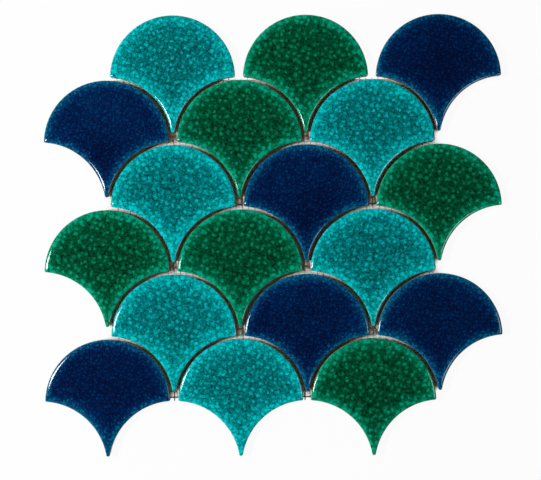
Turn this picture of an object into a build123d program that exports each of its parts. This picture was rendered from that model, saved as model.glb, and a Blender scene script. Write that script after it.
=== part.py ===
"""Sheet of fan-shaped (fish-scale) glazed mosaic tiles, glued face up on an open net of threads.

Millimetres. X runs along the rows, Y towards the round tops of the fans, Z up out of the glaze.
The origin is on the floor under the middle of the sheet.
Each fan has a round top, and two hollow flanks that follow the round tops of the row below.
"""

import os
from math import sqrt

from build123d import *

# Fan tile, seen from above
fan_radius = 40.0  # round top
joint = 2.0  # grout joint between a flank and the round top that it follows
tip_radius = 1.2  # round end of the tip
tip_rise = 7.75  # centre of the tip's round end above the centres of the row below
neck_height = 7.95  # tip to the round top two rows below
corner_radius = 1.1  # where the round top turns into a flank

# Fan tile, through its thickness
tile_thickness = 7.0
rim_width = 1.0  # soft edge of the glazed face, seen from above
rim_drop = 0.8  # how far the soft edge falls below the face

# Backing net
thread_pitch = 4.0
thread_width = 0.6
thread_thickness = 0.3
net_margin = 1.5  # the net is trimmed this far inside the sheet's edge

# Glazes of the fans, row by row from the top, each row from left to right
glazes = [
    ("turquoise", "green", "navy"),
    ("navy", "green", "turquoise"),
    ("turquoise", "navy", "green"),
    ("green", "green", "turquoise"),
    ("turquoise", "navy", "navy"),
    ("navy", "turquoise", "green"),
]

# Lattice that the sizes above give
flank_radius = fan_radius + joint
column_pitch = 2 * sqrt((flank_radius + tip_radius) ** 2 - tip_rise**2)
row_pitch = fan_radius + neck_height + tip_radius - tip_rise
tip_reach = row_pitch - tip_rise + tip_radius
row_count = len(glazes)
column_count = len(glazes[0])
net_thickness = 2 * thread_thickness
below_right = Vector(column_pitch / 2, -row_pitch)


def mirrored(point):
    """The same point on the left side of a fan."""
    return Vector(-point.X, point.Y)


def towards(start, end, distance):
    """The point at a distance from start, in the direction of end."""
    return start + (end - start).normalized() * distance


def upper_crossing(radius, centre, other_radius):
    """Where a circle round the fan's centre crosses a circle round another centre, on its upper side."""
    span = centre.length
    along = (radius**2 - other_radius**2 + span**2) / (2 * span)
    across = sqrt(radius**2 - along**2)
    direction = centre.normalized()
    return direction * along + Vector(-direction.Y, direction.X) * across


def fan_face(inset=0.0):
    """Flat fan round its centre, its top and flanks drawn in by inset."""
    top = fan_radius - inset
    flank = flank_radius + inset
    tip_centre = Vector(0, -row_pitch + sqrt((flank + tip_radius) ** 2 - (column_pitch / 2) ** 2))
    corner_centre = upper_crossing(top - corner_radius, below_right, flank + corner_radius)
    corner_out = corner_centre.normalized() * top
    corner_in = towards(below_right, corner_centre, flank)
    corner_middle = towards(corner_centre, (corner_out + corner_in) * 0.5, corner_radius)
    tip_side = towards(below_right, tip_centre, flank)
    flank_middle = towards(below_right, (corner_in + tip_side) * 0.5, flank)
    outline = Wire(
        [
            ThreePointArc(corner_out, Vector(0, top), mirrored(corner_out)),
            ThreePointArc(mirrored(corner_out), mirrored(corner_middle), mirrored(corner_in)),
            ThreePointArc(mirrored(corner_in), mirrored(flank_middle), mirrored(tip_side)),
            ThreePointArc(mirrored(tip_side), tip_centre - Vector(0, tip_radius), tip_side),
            ThreePointArc(tip_side, flank_middle, corner_in),
            ThreePointArc(corner_in, corner_middle, corner_out),
        ]
    )
    return Face(outline)


def fan_tile():
    """One fired tile lying on its back: upright walls, and a soft edge all round the glazed face."""
    back = fan_face()
    shoulder = Pos(0, 0, tile_thickness - rim_drop) * fan_face()
    face = Pos(0, 0, tile_thickness) * fan_face(rim_width)
    return loft([back, shoulder, face], ruled=True)


def fan_centre(row, column):
    """Centre of a fan's round top. Every second row is half a pitch further left."""
    shift = column_pitch / 4 if row % 2 == 0 else -column_pitch / 4
    x = (column - (column_count - 1) / 2) * column_pitch + shift
    y = ((row_count - 1) / 2 - row) * row_pitch - (fan_radius - tip_reach) / 2
    return Vector(x, y)


def has_fan(row, column):
    """Whether the sheet has a fan there."""
    return 0 <= row < row_count and 0 <= column < column_count


def left_below(row, column):
    """Column number of the fan below and to the left of this one."""
    return column if row % 2 == 0 else column - 1


def net_cell(row, column):
    """The net under one fan: inside its edge, but on under the next row where there is one."""
    cell = Circle(fan_radius - net_margin)
    trimmed = False
    for side, below in ((-1, left_below(row, column)), (1, left_below(row, column) + 1)):
        goes_on = has_fan(row + 1, below)
        reach = fan_radius - 2 * net_margin if goes_on else flank_radius + net_margin
        cell -= Pos(side * column_pitch / 2, -row_pitch) * Circle(reach)
        trimmed = trimmed or not goes_on
    if trimmed:
        cell -= Pos(0, tip_rise - row_pitch) * Rectangle(
            column_pitch, fan_radius, align=(Align.CENTER, Align.MAX)
        )
    return Pos(fan_centre(row, column)) * cell


def net_neck(row, column):
    """The net across the gap between a fan's right corner and the next fan in its row."""
    above_column = column + 1 if row % 2 else column
    below_column = left_below(row, column) + 1
    top = row_pitch - fan_radius + 2 * net_margin if has_fan(row - 1, above_column) else 0
    bottom = row_pitch - fan_radius + 2 * net_margin if has_fan(row + 1, below_column) else 0
    gap = column_pitch - 2 * fan_radius + 4 * net_margin
    middle = fan_centre(row, column) + Vector(column_pitch / 2, (top - bottom) / 2)
    return Pos(middle) * Rectangle(gap, top + bottom)


def net_area():
    """All that the net covers, as one flat area with the sheet's scalloped edge."""
    places = [(row, column) for row in range(row_count) for column in range(column_count)]
    cells = [net_cell(row, column) for row, column in places]
    necks = [net_neck(row, column) for row, column in places if has_fan(row, column + 1)]
    return Sketch() + cells + necks


def thread(length, centre, along):
    """One straight thread, lying on its flat side."""
    turn = Rot(0, 0, Vector(1, 0, 0).get_signed_angle(along))
    lying = (Align.CENTER, Align.CENTER, Align.MIN)
    return Pos(centre) * turn * Box(length, thread_width, thread_thickness, align=lying)


def threads(area, along):
    """Parallel threads one pitch apart over an area, each stopped where the area ends.

    Ends shorter than a pitch cross no other thread, so they would fall out and are left out.
    """
    across = Vector(-along.Y, along.X)
    reach = column_pitch * column_count + row_pitch * row_count
    lines = int(reach / thread_pitch)
    laid = []
    for i in range(-lines, lines + 1):
        start = across * (i * thread_pitch) - along * reach
        line = Edge.make_line(start, start + along * 2 * reach)
        for run in (line & area or ShapeList()).edges():
            if run.length >= thread_pitch:
                laid.append(thread(run.length, run.center(), along))
    return Compound(laid)


os.makedirs("parts", exist_ok=True)

tile = fan_tile()
for row, row_glazes in enumerate(glazes):
    for column, glaze in enumerate(row_glazes):
        place = fan_centre(row, column) + Vector(0, 0, net_thickness)
        row_letter = chr(ord("a") + row)
        export_step(Pos(place) * tile, f"parts/fan_{row_letter}{column + 1}_{glaze}.step")

area = net_area()
export_step(threads(area, Vector(1, 0, 0)), "parts/net_weft.step")
export_step(Pos(0, 0, thread_thickness) * threads(area, Vector(0, 1, 0)), "parts/net_warp.step")
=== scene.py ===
"""Looks of a sheet of fan mosaic tiles: crackle-glazed fans on their net, floor, lights and camera."""

import math

import bmesh
import bpy
from mathutils import Matrix, Vector


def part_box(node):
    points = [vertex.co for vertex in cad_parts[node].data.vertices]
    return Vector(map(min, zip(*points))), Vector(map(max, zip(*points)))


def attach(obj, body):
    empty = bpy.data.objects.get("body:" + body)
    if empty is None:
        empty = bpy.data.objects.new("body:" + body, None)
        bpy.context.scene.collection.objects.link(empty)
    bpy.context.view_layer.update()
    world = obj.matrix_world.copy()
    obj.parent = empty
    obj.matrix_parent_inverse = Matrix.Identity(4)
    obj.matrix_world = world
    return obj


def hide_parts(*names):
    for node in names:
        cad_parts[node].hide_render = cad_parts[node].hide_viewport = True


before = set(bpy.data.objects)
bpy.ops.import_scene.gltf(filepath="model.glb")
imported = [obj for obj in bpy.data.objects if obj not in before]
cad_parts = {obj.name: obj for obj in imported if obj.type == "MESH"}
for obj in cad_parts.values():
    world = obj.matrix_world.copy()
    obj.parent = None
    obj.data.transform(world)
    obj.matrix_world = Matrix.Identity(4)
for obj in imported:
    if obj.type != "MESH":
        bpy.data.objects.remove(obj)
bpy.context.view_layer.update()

MM = 0.001

# Lattice of the fans
COLUMN_PITCH = 85.0 * MM
ROW_PITCH = 41.4 * MM
TILE_LIFT = 0.6 * MM  # the fans lie on the net
TILE_TOP = 7.6 * MM

# Outline of a fan
TOP_RADIUS = 40.0 * MM
FLANK_RADIUS = 42.0 * MM
TIP_RADIUS = 1.2 * MM
CORNER_RADIUS = 1.1 * MM
ARC_STEPS = {"top": 84, "flank": 34, "corner": 5, "tip": 10}

# Net
THREAD_PITCH = 4.0 * MM
THREAD_WIDTH = 0.6 * MM
THREAD_THICKNESS = 0.3 * MM
YARN_REACH = 40 * THREAD_PITCH  # longer than any thread reaches from the middle of the sheet

# Camera, as the photograph was taken
IMAGE_WIDTH = 541
SENSOR_WIDTH = 36
PIXELS_PER_MM = 1.567
CAMERA_HEIGHT = 0.9
CAMERA_CENTRE = (-1.72 * MM, -2.96 * MM)
CAMERA_TURN = math.radians(-0.32)


# Modelling


def start_piece(name):
    """An empty mesh object in edit mode, to draw a piece in."""
    bpy.ops.object.select_all(action="DESELECT")
    bpy.ops.mesh.primitive_plane_add()
    piece = bpy.context.object
    piece.name = name
    piece.data.name = name
    bpy.ops.object.mode_set(mode="EDIT")
    bpy.ops.mesh.select_all(action="SELECT")
    bpy.ops.mesh.delete(type="VERT")
    return piece


def select_faces(piece, wanted):
    """Selects the faces for which wanted(centre, area) holds."""
    bpy.ops.mesh.select_mode(type="FACE")
    bpy.ops.mesh.select_all(action="DESELECT")
    mesh = bmesh.from_edit_mesh(piece.data)
    for face in mesh.faces:
        face.select = wanted(face.calc_center_median(), face.calc_area())
    mesh.select_flush_mode()
    bmesh.update_edit_mesh(piece.data)


def select_loops(piece, first, last):
    """Selects the vertices numbered from first to just before last, with the edges between them."""
    bpy.ops.mesh.select_mode(type="VERT")
    bpy.ops.mesh.select_all(action="DESELECT")
    mesh = bmesh.from_edit_mesh(piece.data)
    mesh.verts.ensure_lookup_table()
    for vertex in mesh.verts[first:last]:
        vertex.select = True
    mesh.select_flush_mode()
    bmesh.update_edit_mesh(piece.data)


def finish_piece(piece, sharp):
    """Leaves edit mode with the faces pointing outwards, smooth but for edges of sharp degrees or more."""
    bpy.ops.mesh.select_all(action="SELECT")
    bpy.ops.mesh.normals_make_consistent(inside=False)
    bpy.ops.mesh.select_all(action="DESELECT")
    bpy.ops.object.mode_set(mode="OBJECT")
    bpy.ops.object.select_all(action="DESELECT")
    piece.select_set(True)
    bpy.ops.object.shade_smooth_by_angle(angle=math.radians(sharp))


def own_copy(piece, name, place=(0, 0, 0)):
    """A copy with its own mesh, moved to its place in the mesh."""
    copy = piece.copy()
    copy.data = piece.data.copy()
    copy.name = name
    copy.data.name = name
    copy.data.transform(Matrix.Translation(place))
    bpy.context.scene.collection.objects.link(copy)
    return copy


# Fan tile


def polar(centre, radius, angle):
    return centre + Vector((math.cos(angle), math.sin(angle), 0)) * radius


def bearing(start, end):
    return math.atan2(end.y - start.y, end.x - start.x)


def fan_arcs(inset):
    """Start point and arcs of a fan's outline drawn in by inset, counter-clockwise.

    Each arc is its centre, sweep and steps.
    """
    top = TOP_RADIUS - inset
    flank = FLANK_RADIUS + inset
    centre = Vector((0, 0, 0))
    left_below = Vector((-COLUMN_PITCH / 2, -ROW_PITCH, 0))
    right_below = Vector((COLUMN_PITCH / 2, -ROW_PITCH, 0))
    tip_rise = math.sqrt((flank + TIP_RADIUS) ** 2 - (COLUMN_PITCH / 2) ** 2)
    tip_centre = Vector((0, tip_rise - ROW_PITCH, 0))
    reach = top - CORNER_RADIUS
    span = right_below.length
    along = (reach**2 - (flank + CORNER_RADIUS) ** 2 + span**2) / (2 * span)
    across = math.sqrt(reach**2 - along**2)
    towards = right_below.normalized()
    right_corner = towards * along + Vector((-towards.y, towards.x, 0)) * across
    left_corner = Vector((-right_corner.x, right_corner.y, 0))
    corner_out = bearing(centre, right_corner)
    corner_in = bearing(right_below, right_corner)
    tip_side = bearing(right_below, tip_centre)
    half_turn = math.pi
    start = polar(centre, top, corner_out)
    corner_sweep = half_turn - corner_in + corner_out
    flank_sweep = tip_side - corner_in
    tip_sweep = 2 * tip_side - half_turn
    arcs = [
        (centre, half_turn - 2 * corner_out, ARC_STEPS["top"]),
        (left_corner, corner_sweep, ARC_STEPS["corner"]),
        (left_below, -flank_sweep, ARC_STEPS["flank"]),
        (tip_centre, tip_sweep, ARC_STEPS["tip"]),
        (right_below, -flank_sweep, ARC_STEPS["flank"]),
        (right_corner, corner_sweep, ARC_STEPS["corner"]),
    ]
    return start, arcs


def draw_outline(inset, height):
    """Draws one closed outline with arcs spun from a point, in the piece that is being edited."""
    start, arcs = fan_arcs(inset)
    level = Vector((0, 0, height))
    speck = 0.01 * MM
    bpy.ops.mesh.select_all(action="DESELECT")
    bpy.ops.mesh.primitive_plane_add(size=speck, location=start + level)
    bpy.ops.mesh.merge(type="CENTER")
    for centre, sweep, steps in arcs:
        bpy.ops.mesh.spin(steps=steps, angle=-sweep, center=centre + level, axis=(0, 0, 1))
    bpy.ops.mesh.select_all(action="SELECT")
    bpy.ops.mesh.remove_doubles(threshold=speck / 5)
    bpy.ops.object.mode_set(mode="OBJECT")  # numbers the vertices outline by outline
    bpy.ops.object.mode_set(mode="EDIT")


def fan_profile():
    """Inset and height of each outline of a fan, from its back round the wall into its face."""
    face = TILE_TOP - 0.03 * MM
    edge = 0.02 * MM  # keeps the smooth outline inside the faceted one that it stands for
    bare_wall = 0.14 * MM  # below the glaze the wall stands back by the glaze's thickness
    border = 1.6 * MM  # plain border round the grooves of the back
    rim_width, rim_height = 2.4 * MM, 1.05 * MM
    rim_angles = (14, 28, 42, 56, 70, 82, 90)
    dish = ((3.6, 0.04), (5.4, 0.09), (8.0, 0.16), (11.5, 0.22), (15.5, 0.26))
    profile = [
        (border, TILE_LIFT),
        (0.55 * MM, TILE_LIFT),
        (0.2 * MM, TILE_LIFT + 0.25 * MM),
        (bare_wall, TILE_LIFT + 0.8 * MM),
        (bare_wall, TILE_LIFT + 3.3 * MM),
        (0.04 * MM, TILE_LIFT + 3.7 * MM),
        (edge, face - rim_height - 0.5 * MM),
        (edge, face - rim_height),
    ]
    for angle in rim_angles:
        turn = math.radians(angle)
        inset = edge + rim_width * (1 - math.cos(turn))
        profile.append((inset, face - rim_height * (1 - math.sin(turn))))
    for inset, fall in dish:
        profile.append((inset * MM, face - fall * MM))
    return profile


def model_fan():
    """One fired tile, its place in its own mesh round the middle of its round top."""
    tile = start_piece("fan")
    count = sum(steps for centre, sweep, steps in fan_arcs(0)[1])
    profile = fan_profile()
    for number, (inset, height) in enumerate(profile):
        draw_outline(inset, height)
        if number:
            select_loops(tile, (number - 1) * count, (number + 1) * count)
            bpy.ops.mesh.bridge_edge_loops()
    last = (len(profile) - 1) * count
    select_loops(tile, last, last + count)
    bpy.ops.mesh.edge_face_add()
    bpy.ops.mesh.poke()
    select_loops(tile, 0, count)
    bpy.ops.mesh.edge_face_add()
    groove_back(tile)
    finish_piece(tile, 35)
    return tile


def groove_back(tile):
    """Shallow grooves across the back inside a plain border, pressed in by the mould."""
    pitch, width, depth = 5.0 * MM, 3.2 * MM, 0.35 * MM
    last_line = 7  # the grooves are numbered from the middle one, which is 0
    border_quad = 3 * MM * MM  # no quad of the border is as large

    def inside(centre, area):
        return centre.z < TILE_LIFT + 0.01 * MM and area > border_quad

    def grooved(centre, area):
        off_line = centre.x - round(centre.x / pitch) * pitch
        return inside(centre, area) and abs(off_line) < width / 2

    for line in range(-last_line, last_line + 1):
        for side in (-1, 1):
            select_faces(tile, inside)
            wall = line * pitch + side * width / 2
            bpy.ops.mesh.bisect(plane_co=(wall, 0, 0), plane_no=(1, 0, 0))
    select_faces(tile, grooved)
    bpy.ops.mesh.extrude_region_move(TRANSFORM_OT_translate={"value": (0, 0, depth)})


# Materials


class Amount:
    """A number that varies over a surface: sums written with it add Math nodes."""

    def __init__(self, shader, socket):
        self.shader = shader
        self.socket = socket

    def __add__(self, other):
        return self.shader.maths("ADD", self, other)

    def __sub__(self, other):
        return self.shader.maths("SUBTRACT", self, other)

    def __rsub__(self, other):
        return self.shader.maths("SUBTRACT", other, self)

    def __mul__(self, other):
        return self.shader.maths("MULTIPLY", self, other)

    def __truediv__(self, other):
        return self.shader.maths("DIVIDE", self, other)

    def __pow__(self, other):
        return self.shader.maths("POWER", self, other)

    __radd__ = __add__
    __rmul__ = __mul__


class Shader:
    """The nodes of a material or of the world."""

    def __init__(self, owner):
        owner.use_nodes = True
        self.tree = owner.node_tree

    def put(self, socket, value):
        """Sets a socket to a plain value or links it to what another node gives."""
        if isinstance(value, Amount):
            value = value.socket
        if isinstance(value, bpy.types.NodeSocket):
            self.tree.links.new(value, socket)
        else:
            socket.default_value = value

    def node(self, kind, settings=None, inputs=None, output=0):
        """Adds a node, with its settings first and then the values or links of its sockets."""
        made = self.tree.nodes.new(kind)
        for name, value in (settings or {}).items():
            if name == "stops":
                self.set_stops(made.color_ramp, value)
            else:
                setattr(made, name, value)
        for name, value in (inputs or {}).items():
            self.put(made.inputs[name], value)
        return Amount(self, made.outputs[output])

    def set_stops(self, ramp, stops):
        for number, (place, colour) in enumerate(stops):
            stop = ramp.elements[number] if number < 2 else ramp.elements.new(place)
            stop.position = place
            stop.color = (*colour, 1)

    def maths(self, operation, *values):
        return self.node("ShaderNodeMath", {"operation": operation}, dict(enumerate(values)))

    def vectors(self, operation, *values, output=0):
        return self.node("ShaderNodeVectorMath", {"operation": operation}, dict(enumerate(values)), output)

    def ramped(self, value, low, high):
        """0 up to low, 1 from high, smooth in between."""
        return self.node(
            "ShaderNodeMapRange",
            {"interpolation_type": "SMOOTHSTEP"},
            {"Value": value, "From Min": low, "From Max": high},
        )

    def noise(self, vector, scale, detail=2.0, output=0):
        return self.node(
            "ShaderNodeTexNoise", {}, {"Vector": vector, "Scale": scale, "Detail": detail}, output
        )

    def cells(self, vector, size):
        """Distance to the middle of the nearest cell, in cells, and two numbers chosen by chance for it."""
        distance = self.node(
            "ShaderNodeTexVoronoi",
            {"feature": "F1", "voronoi_dimensions": "2D"},
            {"Vector": vector, "Scale": 1 / size, "Randomness": 0.74},
            "Distance",
        )
        chances = self.node(
            "ShaderNodeSeparateColor", {}, {"Color": distance.socket.node.outputs["Color"]}, "Red"
        )
        return distance, chances, Amount(self, chances.socket.node.outputs["Green"])

    def blobs(self, vector, size, turn):
        """Soft round blobs of differing width and brightness, about one cell apart."""
        turned = self.node(
            "ShaderNodeVectorRotate", {"rotation_type": "Z_AXIS"}, {"Vector": vector, "Angle": turn}
        )
        distance, width, brightness = self.cells(turned, size)
        glow = 1.0 - self.ramped(distance, 0.02, 0.34 + width * 0.24)
        return glow * (0.6 + brightness * 0.4)

    def web(self, vector, size, width):
        """Thin lines between cells, their width given in cells."""
        edge = self.node(
            "ShaderNodeTexVoronoi",
            {"feature": "DISTANCE_TO_EDGE", "voronoi_dimensions": "2D"},
            {"Vector": vector, "Scale": 1 / size, "Randomness": 0.9},
            "Distance",
        )
        return 1.0 - self.ramped(edge, 0.0, width)

    def hairlines(self, vector, scale, width):
        """Thin winding lines, where a noise passes its middle value."""
        level = self.maths("ABSOLUTE", self.noise(vector, scale, 1.0) - 0.5)
        return 1.0 - self.ramped(level, 0.0, width)

    def mix(self, factor, first, second):
        """A colour between two. The node has sockets of the same name, so these go by number."""
        first_socket, second_socket, result = 6, 7, 2
        colours = {"Factor": factor, first_socket: first, second_socket: second}
        return self.node("ShaderNodeMix", {"data_type": "RGBA"}, colours, result)

    def own_place(self):
        return self.node("ShaderNodeTexCoord", output="Object")

    def attribute(self, name):
        return self.node("ShaderNodeAttribute", {"attribute_name": name}, output="Vector")

    def span(self, start, end):
        """Distance between two places."""
        return self.vectors("DISTANCE", start, end, output="Value")


class Finish(Shader):
    """One material, with the numbers that are the same all over set on its surface shader."""

    def __init__(self, name, **surface):
        self.material = bpy.data.materials.new(name)
        super().__init__(self.material)
        self.surface = self.tree.nodes["Principled BSDF"]
        for socket, value in surface.items():
            self.surface.inputs[socket.replace("_", " ")].default_value = value


def rim_distance(finish, place):
    """How far inside the fan's outline a place on its face lies, in metres."""
    below = -ROW_PITCH
    side = COLUMN_PITCH / 2
    rounding = 2 * MM
    top = TOP_RADIUS - finish.span(place, (0, 0, 0))
    left = finish.span(place, (-side, below, 0)) - FLANK_RADIUS
    right = finish.span(place, (side, below, 0)) - FLANK_RADIUS
    nearer = finish.maths("SMOOTH_MIN", top, left, rounding)
    return finish.maths("SMOOTH_MIN", nearer, right, rounding)


def glaze(
    name,
    stops,
    depth,
    rim_gain,
    rim_reach,
    rim_power,
    cell,
    contrast,
    rim_contrast,
    granular,
    webbing,
    clouding,
    cracks,
):
    """Crackle glaze over a fired body that is left bare low on the wall and on the back.

    Its tone is how bright it looks, from 0 to 1. It is depth in the middle of the tile, and up to
    rim_gain more within about rim_reach of the rim, where the glaze is thin. Soft blobs one cell
    apart vary it by contrast, and more by rim_contrast at the rim. granular, webbing, clouding and
    cracks say how much small blobs, a dark web, broad clouds and hairlines add to that.
    """
    finish = Finish(name, IOR=1.5)
    place = finish.own_place()
    wander = finish.noise(place, 350, output="Color")
    bent = finish.vectors("MULTIPLY_ADD", wander, (1.2 * MM,) * 3, place)
    grain = finish.noise(place, 760, 3.0)
    cloud = finish.noise(place, 22)
    large = finish.blobs(bent, cell, 0.4)
    middling = finish.blobs(bent, cell * 0.61, 1.3)
    small = finish.blobs(bent, cell * 0.37, 2.1)
    grains = finish.blobs(bent, cell * 0.28, 2.9)
    # What is taken off each part brings its mean to zero, so depth alone sets how bright the glaze is
    fine = middling * 0.4 + small * 0.5 + grains * 0.3 - 0.19
    crackle = large * (0.8 + grains * 0.4) - 0.13 + fine * granular + (grain - 0.5) * 1.2
    crackle = crackle - (finish.web(bent, cell * 0.7, 0.16) - 0.25) * webbing
    stretched = finish.vectors("MULTIPLY", bent, (0.4, 1.0, 1.0))
    crack = finish.hairlines(stretched, 130, 0.05) * finish.ramped(cloud, 0.42, 0.62)

    here = finish.vectors("MULTIPLY", finish.attribute("fan_place"), (1, 1, 0))
    distance = rim_distance(finish, here)
    waver = (finish.noise(place, 100) - 0.5) * (4 * MM)
    wavering = distance + waver * finish.ramped(distance, 0.5 * MM, 3 * MM)
    reach = finish.maths("MAXIMUM", wavering, 0.0)
    thin = finish.maths("EXPONENT", (reach / rim_reach) ** rim_power * -1.0)
    pool = 1.0 - finish.ramped(finish.span(here, finish.attribute("pool")), 4 * MM, 30 * MM)
    tone = depth + thin * rim_gain + (cloud - 0.5) * clouding - pool * 0.02 - crack * cracks
    tone = tone + crackle * contrast * (1.0 + thin * rim_contrast)
    glazed = finish.node("ShaderNodeValToRGB", {"stops": stops}, {"Fac": tone})

    glaze_end = TILE_TOP - 3.0 * MM
    wall_top = TILE_TOP - 0.85 * MM
    gloss, dull = 0.07, 0.78
    height = finish.node("ShaderNodeSeparateXYZ", {}, {"Vector": place}, "Z")
    run = finish.noise(place, 160) * (1.6 * MM)
    bare = 1.0 - finish.ramped(height - run, glaze_end, glaze_end + 0.2 * MM)
    breaking = 1.0 - finish.ramped(height, wall_top - 0.65 * MM, wall_top)
    body = finish.mix(finish.noise(place, 700, 3.0), *BISQUE)
    coat = finish.mix(breaking * 0.6, glazed, ENGOBE)
    finish.put(finish.surface.inputs["Base Color"], finish.mix(bare, coat, body))
    finish.put(finish.surface.inputs["Roughness"], gloss + bare * dull + grain * 0.03)
    relief = large * 0.05 + bare * (finish.noise(place, 2500) - 0.5) * 2.0
    bump = finish.node(
        "ShaderNodeBump", {}, {"Height": relief, "Strength": 0.5, "Distance": 0.03 * MM}, "Normal"
    )
    finish.put(finish.surface.inputs["Normal"], bump)
    return finish.material


def yarn(name, along):
    """Flat dressed yarn, its fibres drawn out along it."""
    finish = Finish(name, Roughness=0.85, IOR=1.4)
    place = finish.own_place()
    stretch = [1.0, 1.0, 1.0]
    stretch[along] = 0.06
    drawn = finish.vectors("MULTIPLY", place, stretch)
    fibres = finish.noise(drawn, 6000, 2.0)
    mottle = finish.noise(place, 120, 2.0)
    shade = fibres * 0.7 + mottle * 0.3
    colour = finish.node(
        "ShaderNodeValToRGB",
        {"stops": ((0.25, (0.5, 0.48, 0.42)), (0.75, (0.7, 0.69, 0.64)))},
        {"Fac": shade},
    )
    finish.put(finish.surface.inputs["Base Color"], colour)
    bump = finish.node(
        "ShaderNodeBump", {}, {"Height": fibres, "Strength": 0.6, "Distance": 0.05 * MM}, "Normal"
    )
    finish.put(finish.surface.inputs["Normal"], bump)
    return finish.material


# Colours of the fired body, of the coat under the glaze, and of each glaze by its tone
BISQUE = ((0.27, 0.185, 0.07, 1), (0.42, 0.3, 0.125, 1))
ENGOBE = (0.82, 0.78, 0.64, 1)  # the pale coat, which shows where the glaze runs thin
GLAZES = {
    "turquoise": glaze(
        "turquoise_crackle",
        (
            (0.2, (0.0006, 0.03, 0.034)),
            (0.31, (0.0007, 0.08, 0.084)),
            (0.47, (0.0008, 0.183, 0.19)),
            (0.63, (0.001, 0.345, 0.352)),
            (0.78, (0.002, 0.55, 0.57)),
        ),
        depth=0.44,
        rim_gain=0.24,
        rim_reach=5.8 * MM,
        rim_power=1.6,
        cell=4.0 * MM,
        contrast=0.33,
        rim_contrast=0.25,
        granular=0.9,
        webbing=0.4,
        clouding=0.0,
        cracks=0.06,
    ),
    "green": glaze(
        "green_crackle",
        (
            (0.08, (0.0004, 0.008, 0.003)),
            (0.157, (0.0005, 0.034, 0.0135)),
            (0.274, (0.0006, 0.09, 0.038)),
            (0.392, (0.0007, 0.178, 0.083)),
            (0.55, (0.001, 0.335, 0.19)),
        ),
        depth=0.235,
        rim_gain=0.29,
        rim_reach=3.9 * MM,
        rim_power=1.5,
        cell=4.1 * MM,
        contrast=0.275,
        rim_contrast=1.0,
        granular=0.5,
        webbing=0.2,
        clouding=0.02,
        cracks=0.04,
    ),
    "navy": glaze(
        "navy_crackle",
        (
            (0.05, (0.001, 0.002, 0.012)),
            (0.157, (0.0009, 0.0076, 0.045)),
            (0.235, (0.0007, 0.019, 0.083)),
            (0.314, (0.0007, 0.043, 0.131)),
            (0.47, (0.0014, 0.145, 0.25)),
        ),
        depth=0.17,
        rim_gain=0.25,
        rim_reach=3.2 * MM,
        rim_power=1.35,
        cell=3.1 * MM,
        contrast=0.115,
        rim_contrast=1.5,
        granular=1.2,
        webbing=0.6,
        clouding=0.2,
        cracks=0.03,
    ),
}

# Darkest place of each fan's glaze, in millimetres from the middle of its round top
POOLS = {
    "a1": (4, 8),
    "a2": (6, 4),
    "a3": (-2, 10),
    "b1": (0, 0),
    "b2": (-4, 6),
    "b3": (4, 4),
    "c1": (2, 6),
    "c2": (6, 4),
    "c3": (0, 4),
    "d1": (2, 4),
    "d2": (4, 2),
    "d3": (0, 6),
    "e1": (2, 6),
    "e2": (0, 4),
    "e3": (2, 6),
    "f1": (0, 6),
    "f2": (0, 6),
    "f3": (0, 4),
}


def lay_fans():
    """Copies the fan to the place of each fan of the sheet, with its own glaze."""
    tile = model_fan()
    spots = tile.data.attributes.new("fan_place", "FLOAT_VECTOR", "POINT")
    spots.data.foreach_set("vector", [x for vertex in tile.data.vertices for x in vertex.co])
    tile.data.attributes.new("pool", "FLOAT_VECTOR", "POINT")
    for node in sorted(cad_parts):
        if not node.startswith("fan_"):
            continue
        spot, colour = node.split("_")[1:]
        low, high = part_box(node)
        place = Vector(((low.x + high.x) / 2, high.y - TOP_RADIUS, 0))
        fan = own_copy(tile, f"glazed_{node}", place)
        pool = [x * MM for x in (*POOLS[spot], 0)]
        fan.data.attributes["pool"].data.foreach_set("vector", pool * len(fan.data.vertices))
        fan.data.materials.clear()
        fan.data.materials.append(GLAZES[colour])
        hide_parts(node)
        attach(fan, "root")
    bpy.data.objects.remove(tile)


# Net


def model_yarn(length):
    """One yarn along X from the origin, waved over and under the yarns that it crosses."""
    stations = 3  # to a pitch
    slack = 0.96  # leaves the yarns just apart where they cross
    step = THREAD_PITCH / stations
    bpy.ops.object.select_all(action="DESELECT")
    bpy.ops.mesh.primitive_circle_add(
        vertices=8, radius=THREAD_WIDTH / 2, rotation=(0, math.pi / 2, 0), fill_type="NGON"
    )
    strand = bpy.context.object
    strand.name = "yarn"
    bpy.ops.object.transform_apply(location=True, rotation=True, scale=True)
    flat = THREAD_THICKNESS / THREAD_WIDTH * slack
    lift = THREAD_THICKNESS / 2

    def wave(x):
        return THREAD_THICKNESS + lift * math.cos(math.pi * x / THREAD_PITCH)

    bpy.ops.object.mode_set(mode="EDIT")
    bpy.ops.mesh.select_all(action="SELECT")
    bpy.ops.transform.resize(value=(1, 1, flat))
    bpy.ops.transform.translate(value=(0, 0, wave(0)))
    count = round(length / step)
    for station in range(count):
        rise = wave((station + 1) * step) - wave(station * step)
        bpy.ops.mesh.extrude_region_move(TRANSFORM_OT_translate={"value": (step, 0, rise)})
    finish_piece(strand, 50)
    return strand


def thread_runs(node, along):
    """Line number, start and end of each thread of a CAD net layer."""
    across = 1 - along
    lines = {}
    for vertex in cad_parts[node].data.vertices:
        line = round(vertex.co[across] / THREAD_PITCH)
        lines.setdefault(line, set()).add(round(vertex.co[along], 6))
    runs = []
    for line, ends in sorted(lines.items()):
        ends = sorted(ends)
        runs += [(line, start, end) for start, end in zip(ends[::2], ends[1::2])]
    return runs


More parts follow.
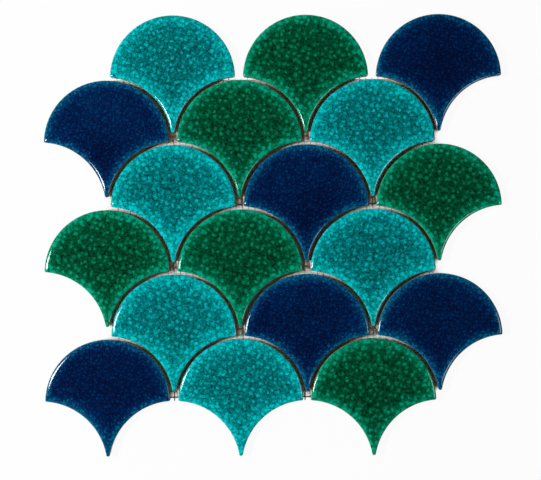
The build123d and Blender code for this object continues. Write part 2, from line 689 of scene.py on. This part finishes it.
def cut_to(piece, along, start, end):
    """Cuts a straight piece off square at both ends and closes the cuts."""
    bpy.ops.object.select_all(action="DESELECT")
    bpy.context.view_layer.objects.active = piece
    piece.select_set(True)
    bpy.ops.object.mode_set(mode="EDIT")
    direction = Vector((0, 0, 0))
    direction[along] = 1
    for place, sign in ((start, -1), (end, 1)):
        bpy.ops.mesh.select_all(action="SELECT")
        bpy.ops.mesh.bisect(
            plane_co=direction * place, plane_no=direction * sign, use_fill=True, clear_outer=True
        )
    bpy.ops.object.mode_set(mode="OBJECT")


def weave(node, along, strand, name, material):
    """Lays a copy of the yarn along each thread of a net layer, and joins them."""
    yarns = []
    for line, start, end in thread_runs(node, along):
        phase = THREAD_PITCH if (line + along) % 2 else 0
        piece = own_copy(strand, "run", (-YARN_REACH - phase, 0, 0))
        if along == 1:
            piece.data.transform(Matrix.Rotation(math.pi / 2, 4, "Z"))
        shift = Vector((0, 0, 0))
        shift[1 - along] = line * THREAD_PITCH
        piece.data.transform(Matrix.Translation(shift))
        cut_to(piece, along, start, end)
        yarns.append(piece)
    bpy.ops.object.select_all(action="DESELECT")
    for piece in yarns:
        piece.select_set(True)
    bpy.context.view_layer.objects.active = yarns[0]
    bpy.ops.object.join()
    layer = yarns[0]
    layer.name = name
    layer.data.name = name
    layer.data.materials.clear()
    layer.data.materials.append(material)
    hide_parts(node)
    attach(layer, "root")


def lay_net():
    strand = model_yarn(2 * YARN_REACH + THREAD_PITCH)
    weave("net_weft", 0, strand, "woven_net_weft", yarn("weft_yarn", 0))
    weave("net_warp", 1, strand, "woven_net_warp", yarn("warp_yarn", 1))
    bpy.data.objects.remove(strand)


# Floor, light and camera


def floor():
    """A plain floor that the camera sees as white, except in the joints, where it is seen as lit.

    The joints above the tops of the second row open on the sheet's edge, and are white too.
    """
    bpy.ops.object.select_all(action="DESELECT")
    bpy.ops.mesh.primitive_plane_add(size=12, location=(0, 0, 0))
    ground = bpy.context.object
    ground.name = "floor"
    covered, uncovered = 0.36, 0.45  # how much open sky the floor has in a joint, and beside one
    whiteness = 0.94  # the rest of the light is the floor's own, which keeps the object's shadow
    finish = Finish("floor_white", Base_Color=(0.7, 0.7, 0.7, 1), Roughness=0.9)
    shown = finish.node("ShaderNodeLightPath", output="Is Camera Ray")
    mirrored = finish.node("ShaderNodeLightPath", output="Is Glossy Ray")
    open_sky = finish.node("ShaderNodeAmbientOcclusion", {}, {"Distance": 20 * MM}, "AO")
    up_sheet = finish.node("ShaderNodeSeparateXYZ", {}, {"Vector": finish.own_place()}, "Y")
    second_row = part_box("fan_b2_green")[1].y
    above = finish.ramped(up_sheet, second_row, second_row + 0.8 * MM)
    clear = finish.maths("MAXIMUM", finish.ramped(open_sky, covered, uncovered), above)
    factor = clear * whiteness * finish.maths("MAXIMUM", shown, mirrored)
    glow = finish.node("ShaderNodeEmission", {}, {"Color": (1, 1, 1, 1), "Strength": 1.0})
    blend = finish.node("ShaderNodeMixShader", {}, {0: factor, 1: finish.surface.outputs[0], 2: glow})
    finish.put(finish.tree.nodes["Material Output"].inputs["Surface"], blend)
    ground.data.materials.append(finish.material)


def lamp(name, place, width, height, power, lights_up=True, mirrored=True):
    """A soft lamp aimed at the middle of the sheet, which lights it up, shows in its gloss, or both."""
    light = bpy.data.lights.new(name, "AREA")
    light.shape = "RECTANGLE"
    light.size = width
    light.size_y = height
    light.energy = power
    holder = bpy.data.objects.new(name, light)
    holder.location = place
    holder.rotation_euler = (-Vector(place)).to_track_quat("-Z", "Y").to_euler()
    holder.visible_diffuse = lights_up
    holder.visible_glossy = mirrored
    bpy.context.scene.collection.objects.link(holder)


def lights():
    key_distance = 1.5
    azimuth, elevation = math.radians(177.5), math.radians(51.5)
    key = Vector(
        (
            math.cos(azimuth) * math.cos(elevation),
            math.sin(azimuth) * math.cos(elevation),
            math.sin(elevation),
        )
    )
    left, right = (-0.49, -0.02, 0.58), (0.43, -0.14, 0.45)
    lamp("key_softbox", key * key_distance, width=0.45, height=0.12, power=24.5, mirrored=False)
    lamp("left_strip", left, width=0.13, height=0.28, power=3.8, lights_up=False)
    lamp("right_strip", right, width=0.3, height=0.15, power=0.8, lights_up=False)
    studio()


def studio():
    """A band of dim light round the horizon, dimmer in reflections, and white behind the floor."""
    dimmed = 0.3
    world = bpy.data.worlds.new("studio")
    bpy.context.scene.world = world
    sky = Shader(world)
    height = sky.node(
        "ShaderNodeSeparateXYZ", {}, {"Vector": sky.node("ShaderNodeTexCoord", output="Generated")}, "Z"
    )
    band = sky.node(
        "ShaderNodeMapRange",
        {"interpolation_type": "SMOOTHSTEP"},
        {"Value": height, "From Min": 0.35, "From Max": 0.7, "To Min": 0.5, "To Max": 0.004},
    )
    mirrored = sky.node("ShaderNodeLightPath", output="Is Glossy Ray")
    shown = sky.node("ShaderNodeLightPath", output="Is Camera Ray")
    level = sky.maths("MAXIMUM", band * (1.0 - mirrored * (1.0 - dimmed)), shown)
    sky.put(sky.tree.nodes["Background"].inputs["Color"], level)


def camera():
    lens = bpy.data.cameras.new("camera")
    lens.sensor_width = SENSOR_WIDTH
    lens.lens = SENSOR_WIDTH * CAMERA_HEIGHT * PIXELS_PER_MM / IMAGE_WIDTH / MM
    holder = bpy.data.objects.new("camera", lens)
    holder.location = (*CAMERA_CENTRE, TILE_TOP + CAMERA_HEIGHT)
    holder.rotation_euler = (0, 0, CAMERA_TURN)
    bpy.context.scene.collection.objects.link(holder)
    bpy.context.scene.camera = holder


lay_fans()
lay_net()
floor()
lights()
camera()
bpy.context.scene.view_settings.view_transform = "Standard"
